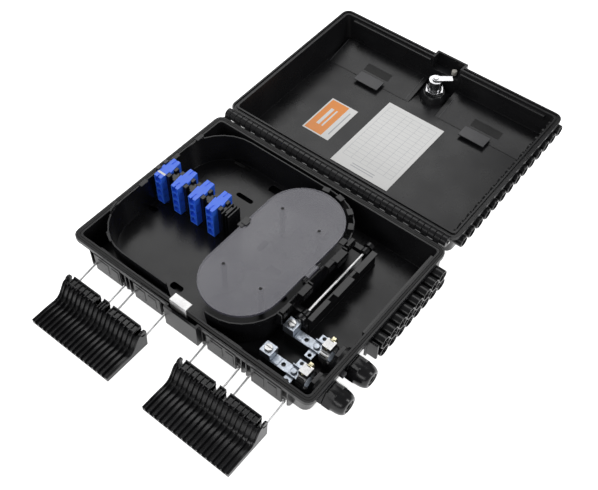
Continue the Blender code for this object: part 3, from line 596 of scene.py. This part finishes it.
def make_clamps():
    for number in (1, 2):
        name = "clamp_%d_" % number
        block = span(name + "block")
        band = span(name + "band")
        y = (block[0].y + block[1].y) / 2
        screw = block_screw_parts(*span(name + "screw"), y)
        fine = piece(name + "screw_fine", screw, "root", "steel", 0.12)
        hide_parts(name + "screw")
        deck = span(name + "plate")[1].z
        saddle = saddle_parts((band[0].x - 8.5, y), deck, block[1].x)
        piece(name + "saddle", saddle, "root", "zinc", 0.15)
        piece(name + "band_slots", band_slot_parts(band, y), "root", "rubber", 0)
        worm = worm_parts(*span(name + "worm"))
        fine = piece(name + "worm_fine", worm, "root", "steel", 0.2, PASSIVATED)
        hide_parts(name + "worm")


# ---- latch handles ------------------------------------------------------------------
def handle_curve(y):
    """Height of a fin's edge above the handle's underside, y mm in front of the pivot."""
    reach = max(0.0, y - 4.5)
    return 4.4 + 16.2 * math.exp(-(reach / 8.2) ** 2) + 0.9 * math.exp(-((y - 30) / 12) ** 2)


def make_handle(side):
    node = side + "_latch_handle"
    low, high = span(node)
    axis = Vector(joints[side + "_handle_hinge"]["pos_m"]) / MM
    centre = axis.x
    half = (high.x - low.x) / 2
    front = axis.y - low.y
    steps = 22
    fins = 18
    run = [4.0 + (front - 4.4) * k / steps for k in range(steps + 1)]

    def profile(rise, ground=0.0):
        """The (y, z) outline under a fin's edge, rise mm above it, down to ground."""
        curve = [(axis.y - y, low.z + handle_curve(y) + rise) for y in reversed(run)]
        return [(axis.y - 4.0, low.z + ground), (low.y + 0.4, low.z + ground)] + curve

    # the slab under the fins, the fins, and a cheek with its ear at each end
    parts = [prism_x(profile(-2.9), (centre - half + 0.6, centre + half - 0.6))]
    for k in range(fins):
        x = centre + (k - (fins - 1) / 2) * (2 * half - 5.6) / (fins - 1)
        parts.append(prism_x(profile(0.0, 1.5), (x - 0.75, x + 0.75)))
    for end in (-1, 1):
        x = sorted((centre + end * (half - 1.5), centre + end * half))
        cheek = profile(0.7)
        cheek[0] = (axis.y + 2.0, low.z + 1.0)
        cheek.append((axis.y + 3.0, high.z - 6.0))
        parts.append(prism_x(cheek, x))
        x = sorted((centre + end * (half - 2.2), centre + end * half))
        parts.append(turned("X", (axis.y - 0.2, high.z - 3.6), ((x[0], 3.5), (x[1], 3.5)), 24))

    # between the wire legs: a bar with a channel for the wire, a back plate, ribs and pads
    beside_leg = 2.5
    edges = [leg + shift for leg in BAIL_LEGS for shift in (-beside_leg, beside_leg)][1:-1]
    back = high.y
    roof = axis.z + 1.8
    for first, last in zip(edges[::2], edges[1::2]):
        x = (centre + first, centre + last)
        parts.append(prism_x((
            (axis.y - 5.0, low.z), (axis.y - 1.8, low.z), (axis.y - 1.8, roof), (axis.y + 1.8, roof),
            (axis.y + 1.8, axis.z - 3), (back - 0.6, axis.z - 3), (back - 0.6, high.z - 2.6),
            (axis.y - 4.4, high.z - 2.6)), x))
        parts.append(box(x, (back - 1.5, back), (high.z - 6.5, high.z)))
        count = max(2, int((last - first) / 5.6))
        for k in range(count + 1):
            rib = centre + first + 0.5 + (last - first - 1.0) * k / count
            parts.append(box((rib - 0.5, rib + 0.5), (axis.y - 7.2, back - 1.0),
                             (high.z - 9, high.z - 1.1)))
        wide = (last - first) * 0.3
        if last - first > 20:
            for spot in (centre + first + wide * 0.5, centre + last - wide * 0.5):
                parts.append(box((spot - wide / 2, spot + wide / 2), (axis.y - 5.4, axis.y - 4.0),
                                 (high.z - 7, high.z - 1.6)))
    fine = piece(node + "_fine", parts, side + "_handle", "trim_plastic", 0.22)
    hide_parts(node)


# ---- tray ---------------------------------------------------------------------------
def corner_tab(arc, degrees, corners, z):
    """A flat tab on a round corner of the tray, from (reach, along) pairs about arc."""
    angle = math.radians(degrees)
    out = Vector((math.cos(angle), math.sin(angle)))
    across = Vector((-out.y, out.x))
    return prism_z([tuple(arc + out * reach + across * along) for reach, along in corners], z)


def make_fiber_tabs():
    """Small tabs inside the tray's rim that keep the fibers down."""
    low, high = span("splice_tray")
    rim = high.z
    tabs = []
    arc = Vector((TRAY_WALL - TRAY_CORNER, high.y - TRAY_CORNER))
    corners = ((41.5, -4), (47.5, -4), (47.5, 4), (41.5, 4))
    for degrees in (2, 28, 52, 78, 100):
        tabs.append(corner_tab(arc, degrees, corners, (rim - 1.6, rim - 0.3)))
    arc = Vector((low.x + TRAY_CORNER, low.y + TRAY_CORNER))
    corners = ((46.8, -7), (49.0, -6), (49.0, 6), (46.8, 7))
    for degrees in (197, 243):
        tabs.append(corner_tab(arc, degrees, corners, (rim - 1.2, rim - 0.1)))
    for y in (-20.0, 26.0, 62.0):
        tabs.append(box((low.x + 0.8, low.x + 5.5), (y - 5, y + 5), (rim - 1.6, rim - 0.3)))
    piece("fiber_tabs", tabs, "tray", "tray_plastic", 0.3)


def make_tray_side():
    """The notched plates that stand out from the tray's right wall, and their webs."""
    rim = span("splice_tray")[1].z
    plates = []
    notches = (
        ((-52, -39), 4.5), ((-26, -12), 6.5), ((14, 24), 5.0), ((24, 40), 8.0), ((46, 57), 4.0))
    for y, reach in notches:
        edge = TRAY_WALL + reach
        plates.append(box((TRAY_WALL - 0.9, edge), y, (rim - 4.0, rim - 2.4)))
        plates.append(box((edge - 1.4, edge), y, (rim - 10.0, rim - 2.4)))
    for y in (-55, -10, 42):
        plates.append(box((TRAY_WALL - 1.0, TRAY_WALL + 4.5), (y - 0.8, y + 0.8), (rim - 16, rim - 1.5)))
    piece("tray_side_plates", plates, "tray", "tray_plastic", 0.25)


def make_tray_hinge():
    """The stepped rail of the tray's hinge bracket, its two ears, and the pin's heads."""
    axis = Vector(joints["tray_hinge"]["pos_m"]) / MM
    low, high = span("tray_hinge_bracket")
    y = (low.y + 4.6, high.y - 4.6)
    foot = low.z + 1.0
    back = axis.x + 7.4
    rail = [box((axis.x + 5.6, back), y, (foot, axis.z + 2.5))]
    cuts = (0.0, 0.28, 0.36, 0.62, 0.7, 1.0)
    for first, last, reach in zip(cuts, cuts[1:], (3.5, 0.0, 5.5, 1.5, 4.5)):
        run = (y[0] + (y[1] - y[0]) * first, y[0] + (y[1] - y[0]) * last)
        rail.append(box((axis.x + 5.4, back + reach), run, (axis.z + 1.2, axis.z + 2.7)))
    for end in (low.y - 0.2, high.y - 4.2):
        rail.append(box((axis.x - 6, back), (end + 0.3, end + 4.1), (foot, axis.z - 5)))
        rail.append(turned("Y", (axis.x, axis.z), ((end, 5.6), (end + 4.4, 5.6)), 28))
    piece("tray_hinge_rail", rail, "root", "trim_plastic", 0.3)
    heads = []
    pin = span("tray_hinge_pin")
    for y, out in ((pin[0].y, -1), (pin[1].y, 1)):
        heads.append(turned("Y", (axis.x, axis.z), sorted(((y, 2.6), (y + out * 0.9, 2.2))), 20))
    piece("tray_pin_heads", heads, "root", "steel", 0.15)


# ---- splice cover -------------------------------------------------------------------
def make_cover_trim():
    """A lip round the cover, four screws with their collars, and the clip that holds it."""
    low, high = span("splice_cover")
    rim = span("splice_tray")[1].z
    top = high.z
    wide = COVER_RIGHT - low.x
    ring = wide / 2
    mid = low.x + ring
    arc_steps = 16

    def capsule(inset):
        """The cover's outline in plan, inset mm inside its edge."""
        points = []
        for cy, start in ((high.y - ring, 0), (low.y + ring, 180)):
            for k in range(arc_steps + 1):
                angle = math.radians(start + 180 * k / arc_steps)
                points.append((mid + (ring - inset) * math.cos(angle),
                               cy + (ring - inset) * math.sin(angle)))
        return points

    rings = [(0.1, top - 0.3), (0.1, top + 0.35), (0.9, top + 0.35), (0.9, top - 0.3)]
    lip = loft([[(x, y, z) for x, y in capsule(inset)] for inset, z in rings], closed=True)
    piece("cover_lip", [lip], "cover", "smoked_cover", 0)

    collar = ((top - 0.1, 2.7), (top + 0.25, 2.5), (top + 0.25, 1.7), (top - 0.1, 1.7))
    screw = ((top - 0.2, 1.7), (top + 0.1, 1.7))
    spots = [(x, y) for x in (low.x + 17.6, low.x + wide - 21.6)
             for y in (low.y + 43.0, high.y - 42.5)]
    collars = [turned("Z", spot, collar, 24, True) for spot in spots]
    screws = [turned("Z", spot, screw, 20) for spot in spots]
    piece("cover_collars", collars, "cover", "smoked_cover", 0)
    piece("cover_screws", screws, "cover", "rubber", 0)

    clip = [box((low.x - 3.5, low.x + 3.0), (-2, 12), (rim - 6, top + 0.6)),
            box((low.x - 1.5, low.x + 5.0), (2, 8), (top + 0.1, top + 1.4))]
    piece("cover_clip", clip, "tray", "trim_plastic", 0.3)


# ---- lid ----------------------------------------------------------------------------
def sheet(x, y, z, lift):
    """A thin print or sticker on the lid's inner face, lift mm proud of z."""
    return box(x, y, (z - lift, z))


def make_label_table():
    """The plain ruled table on the data label, with two thick lines under it."""
    low, high = closed_span("data_label")
    wide = high.x - low.x
    deep = high.y - low.y
    rows = 17
    half_line = 0.16
    print_lift = 0.03
    lines = []
    for k in range(rows):
        y = low.y + deep * (0.06 + 0.80 * k / (rows - 1))
        lines.append(sheet((low.x + 5, high.x - 5), (y - half_line, y + half_line), low.z, print_lift))
    for share in (0.07, 0.22, 0.38, 0.5, 0.66, 0.8, 0.93):
        x = low.x + wide * share
        run = (low.y + deep * 0.06, low.y + deep * 0.86)
        lines.append(sheet((x - half_line, x + half_line), run, low.z, print_lift))
    for share in (0.91, 0.94):
        y = low.y + deep * share
        run = (low.x + wide * 0.3, high.x - wide * 0.3)
        lines.append(sheet(run, (y - 0.6, y + 0.6), low.z, print_lift))
    piece("label_table", lines, "lid", "label_paper", 0, INK, LID)


def make_sticker(inner):
    """A white sticker with an orange panel, two plain bars on it and a plain line beside it."""
    x = (-88.0, -52.0)
    y = (-6.0, 51.0)
    thick = 0.35
    print_lift = 0.03
    face = inner - thick
    piece("sticker", [sheet(x, y, inner, thick)], "lid", "label_paper", 0.05, None, LID)
    panel = sheet((x[0] + 1.8, x[0] + 25), (y[0] + 1.8, y[1] - 1.8), face, print_lift)
    piece("sticker_panel", [panel], "lid", "label_paper", 0, ORANGE, LID)
    run = (y[0] + 14, y[1] - 14)
    bars = [sheet((x[0] + 9, x[0] + 13), run, face - print_lift, print_lift),
            sheet((x[0] + 16, x[0] + 18), run, face - print_lift, print_lift)]
    piece("sticker_bars", bars, "lid", "label_paper", 0, None, LID)
    line = sheet((x[1] - 6, x[1] - 4.5), (y[0] + 8, y[1] - 8), face, print_lift)
    piece("sticker_line", [line], "lid", "label_paper", 0, INK, LID)


def make_seat_lines(front, inner, top):
    """Dark strips of painted shade for the slots, seams, and grey strips painted as highlights on the
    side edges of the two latch seats in the lid's front.
    """

    def slope(y):
        """Inner face of a latch seat at y, on the closed lid."""
        share = min(1.0, max(0.0, (front + 52 - y) / 39.0))
        return top - 2.6 - 8 * share

    def strip(first, last, depth):
        """The (y, z) outline of a thin strip that follows the slope."""
        return [(y, slope(y) + rise) for y, rise in (
            (first, 0.1), (last, 0.1), (last, -depth), (first, -depth))]

    # the slots are dark matte strips laid on the slope: painted shade, not cut openings
    slots = [prism_x(strip(front + 31, front + 41, 0.25), x) for x in ((-88.0, -54.0), (59.0, 95.0))]
    seams = []
    edge_highlights = []
    for side in (-1, 1):
        seat = sorted((side * 23.0 + 1, side * 130.0))
        for x in seat:
            # grey strips on each seat's side edges: painted highlights, not a lighter plastic
            edge_highlights.append(prism_x(strip(front + 14, front + 51, 0.3), (x - 0.35, x + 0.35)))
        seams.append(sheet(seat, (front + 51.6, front + 52.4), inner + 0.05, 0.25))
    piece("seat_slots", slots, "lid", "rubber", 0, None, LID)
    piece("seat_seams", seams, "lid", "rubber", 0, None, LID)
    piece("seat_edges", edge_highlights, "lid", "gray_plastic", 0.1, None, LID)


def make_scallops(front, right):
    """The row of round, cup-ended ribs along the lid's right wall."""
    rim = span("base_gasket")[1].z + 0.35
    count = 14
    row_length = 192
    sections = ((right - 11, 6.3), (right + 2.6, 6.3), (right + 3.4, 5.6), (right + 3.4, 4.6),
                (right + 0.5, 4.4))
    scallops = []
    for k in range(count):
        y = front + 10 + row_length * k / (count - 1)
        scallops.append(turned("X", (y, rim + 12.2), sections, 24))
    piece("lid_scallops", scallops, "lid", "case_plastic", 0, None, LID)


def make_lid_trim():
    shell = closed_span("lid_shell")
    inner = closed_span("data_label")[1].z + 0.3
    front = shell[0].y + 6.0
    make_label_table()
    make_sticker(inner)
    make_seat_lines(front, inner, shell[1].z)
    make_scallops(front, shell[1].x)


# ---- front wall ---------------------------------------------------------------------
def make_front():
    """Fins beside the latch wires, raised panels between them, and a dark oval painted as the shade of
    an oval recess.
    """
    gasket = span("base_gasket")
    front = gasket[0].y - 2.5
    rim = gasket[1].z
    fins = []
    steps = []
    outline = (
        (front + 9, 4), (front + 3.5, 6), (front + 0.2, 11), (front + 0.2, rim - 4.6),
        (front + 9, rim - 4.6))
    for side in ("left", "right"):
        hinge = Vector(joints[side + "_bail_hinge"]["pos_m"]) / MM
        for leg in BAIL_LEGS:
            for gap in (-1, 1):
                x = sorted((hinge.x + leg + gap * 2.5, hinge.x + leg + gap * 3.9))
                fins.append(prism_x(outline, x))
        for first, last in ((-38, -24), (-20, -11), (12, 24), (28, 38)):
            steps.append(box((hinge.x + first, hinge.x + last), (front - 1.0, front + 6), (16, rim - 8)))
    piece("front_fins", fins, "root", "trim_plastic", 0.3)
    piece("front_steps", steps, "root", "case_plastic", 0.4)
    centre = 26.5
    radius = 3.6
    oval = []
    for cz, start in ((rim - 12, 0), (14, 180)):
        for k in range(9):
            angle = math.radians(start + 180 * k / 8)
            oval.append((centre + radius * math.cos(angle), cz + radius * math.sin(angle)))
    # a dark matte oval block stands for the recess: painted shade
    recess_shade = loft([[(x, y, z) for x, z in oval] for y in (front + 3.0, front + 6.2)])
    piece("front_recess", [recess_shade], "root", "rubber", 0.2)


# ---- stage --------------------------------------------------------------------------
def make_stage():
    """A white floor that glows a little, so that it renders evenly pale."""
    mesh = bpy.data.meshes.new("floor")
    reach = 6.0
    corners = [(-reach, -reach, 0), (reach, -reach, 0), (reach, reach, 0), (-reach, reach, 0)]
    mesh.from_pydata(corners, [], [(0, 1, 2, 3)])
    floor = bpy.data.objects.new("floor", mesh)
    bpy.context.scene.collection.objects.link(floor)
    gap = 0.0002
    floor.location.z = -gap
    paint = Paint("floor_white", (0.9, 0.9, 0.9), 0.7)
    paint.shader.inputs["Emission Color"].default_value = (1, 1, 1, 1)
    paint.shader.inputs["Emission Strength"].default_value = 0.95
    mesh.materials.append(paint.material)


def area_light(name, place, target, size, power):
    """A rectangular light; size in metres, power in watts."""
    data = bpy.data.lights.new(name, "AREA")
    data.shape = "RECTANGLE"
    data.size = size[0]
    data.size_y = size[1]
    data.energy = power
    light = bpy.data.objects.new(name, data)
    bpy.context.scene.collection.objects.link(light)
    light.location = place
    light.rotation_euler = (Vector(target) - Vector(place)).to_track_quat("-Z", "Y").to_euler()


def make_lights():
    world = bpy.data.worlds.new("studio")
    world.use_nodes = True
    background = world.node_tree.nodes["Background"]
    background.inputs["Color"].default_value = (1, 1, 1, 1)
    background.inputs["Strength"].default_value = 0.22
    bpy.context.scene.world = world
    area_light("key", (-0.75, 0.95, 1.5), (0, 0.05, 0), (1.3, 1.1), 12)
    area_light("left_strip", (-1.4, -0.5, 0.7), (0, 0.0, 0), (0.3, 1.2), 8)
    area_light("right_strip", (1.3, 0.5, 0.9), (0, 0.1, 0), (0.3, 1.2), 8)
    area_light("front_soft", (0.2, -1.5, 0.8), (0, 0, 0), (1.4, 0.5), 7)


def make_camera():
    data = bpy.data.cameras.new("camera")
    data.lens = 53.5
    data.sensor_width = 36
    camera = bpy.data.objects.new("camera", data)
    bpy.context.scene.collection.objects.link(camera)
    camera.location = (0.3476, -0.3946, 0.7031)
    camera.rotation_euler = [math.radians(a) for a in (38.138, -1.041, 38.584)]
    bpy.context.scene.camera = camera


for existing in [o for o in bpy.data.objects if o.type in ("LIGHT", "CAMERA")]:
    bpy.data.objects.remove(existing)
bpy.context.scene.view_settings.view_transform = "Standard"
dress_nodes()
make_adapters()
make_adapter_clips()
make_ports()
make_gland_lug()
make_gland_nuts()
make_clamps()
for latch in ("left", "right"):
    make_handle(latch)
make_fiber_tabs()
make_tray_side()
make_tray_hinge()
make_cover_trim()
make_lid_trim()
make_front()
make_stage()
make_lights()
make_camera()
